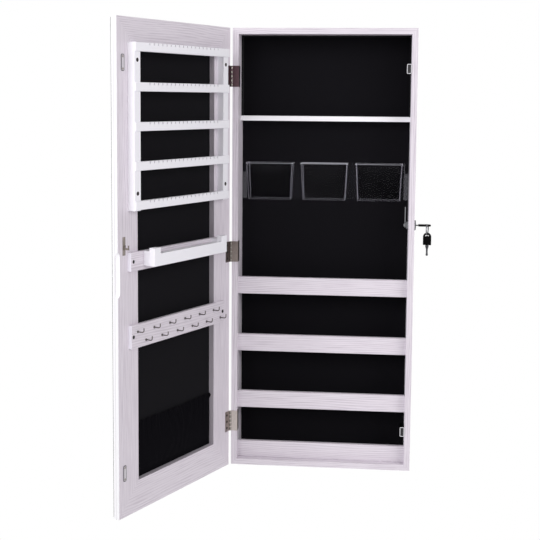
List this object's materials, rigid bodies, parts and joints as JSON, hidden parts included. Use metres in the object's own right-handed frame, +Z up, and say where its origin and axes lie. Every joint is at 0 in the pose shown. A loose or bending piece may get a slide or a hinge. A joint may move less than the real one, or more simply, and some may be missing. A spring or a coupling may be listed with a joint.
{
  "type": "jewelry mirror cabinet",
  "caption": "Wall-hung jewelry cabinet with a framed mirror door on butt hinges, rails, clear bins, earring rack, hooks, pouch and a cam lock.",
  "frame": {"origin": "on the wall plane, midway between the round entries of the two keyhole hangers", "axes": "+X to the right seen from the room, +Y into the wall, +Z up"},
  "size_m": [0.575, 0.4185, 0.9],
  "materials": {
    "white_foil": "satin",
    "white_lacquer": "satin",
    "black_flock": "matte",
    "black_cloth": "satin",
    "backboard": "matte",
    "mirror_glass": "polished",
    "clear_plastic": "polished",
    "white_plastic": "matte",
    "magnet": "matte",
    "nickel": "satin",
    "chrome": "polished",
    "zinc_steel": "satin",
    "black_plastic": "satin"
  },
  "bodies": {
    "cabinet": {"side_left": "white_foil", "side_right": "white_foil", "top_board": "white_foil", "bottom_board": "white_foil", "back_panel": "backboard", "back_lining": "black_flock", "upper_lining": "black_flock", "upper_shelf": "white_foil", "shelf_floor_1": "black_flock", "shelf_floor_2": "black_flock", "shelf_floor_3": "black_flock", "shelf_rail_1": "white_foil", "shelf_rail_2": "white_foil", "shelf_rail_3": "white_foil", "bottom_rail": "white_foil", "bin_plate": "clear_plastic", "bin_left": "clear_plastic", "bin_middle": "clear_plastic", "bin_right": "clear_plastic", "catch_lower": "white_plastic", "catch_upper": "white_plastic", "catch_magnets": "magnet", "lock_body": "chrome", "lock_nut": "chrome", "hinge_leaves_cabinet": "nickel", "hinge_pins": "nickel", "cabinet_screws": "nickel", "wall_hangers": "zinc_steel"},
    "door": {"door_stile_hinge": "white_foil", "door_stile_free": "white_foil", "door_rail_top": "white_foil", "door_rail_bottom": "white_foil", "door_panel": "black_flock", "mirror": "mirror_glass", "hinge_leaves_door": "nickel", "door_screws": "nickel", "rack_stile_hinge": "white_lacquer", "rack_stile_free": "white_lacquer", "earring_bar_1": "white_lacquer", "earring_bar_2": "white_lacquer", "earring_bar_3": "white_lacquer", "earring_bar_4": "white_lacquer", "earring_bar_5": "white_lacquer", "rack_screws": "nickel", "bracelet_base": "white_foil", "bracelet_bar": "white_lacquer", "hook_board": "white_foil", "hooks_upper": "nickel", "hooks_lower": "nickel", "pouch": "black_cloth", "catch_strikes": "nickel", "lock_strike": "nickel"},
    "lock_plug": {"lock_plug": "chrome", "lock_cam": "chrome", "cam_screw": "chrome"},
    "key": {"key_blade": "chrome", "key_bow": "black_plastic"},
    "key_ring": {"key_ring": "chrome"},
    "spare_key": {"spare_key_blade": "chrome", "spare_key_bow": "black_plastic"}
  },
  "joints": [
    {"name": "door_hinge", "type": "hinge", "parent": "cabinet", "child": "door", "pos_m": [-0.187, -0.0815, -0.42], "axis": [0, 0, -1], "range_deg": [-114.5, 60.5]},
    {"name": "lock_turn", "type": "hinge", "parent": "cabinet", "child": "lock_plug", "pos_m": [0.18, -0.04, -0.364], "axis": [1, 0, 0], "range_deg": [0, 90]},
    {"name": "key_pull", "type": "slide", "parent": "lock_plug", "child": "key", "axis": [1, 0, 0], "range_m": [0, 0.022]},
    {"name": "ring_swing", "type": "hinge", "parent": "key", "child": "key_ring", "pos_m": [0.2119, -0.0465, -0.364], "axis": [1, 0, 0], "range_deg": [-90, 0]},
    {"name": "spare_swing", "type": "hinge", "parent": "key_ring", "child": "spare_key", "pos_m": [0.2119, -0.0465, -0.383], "axis": [0.2419, 0.9703, 0], "range_deg": [-30, 30]}
  ],
  "couplings": [
    {"joint": "ring_swing", "follows": "lock_turn", "ratio": -1}
  ]
}
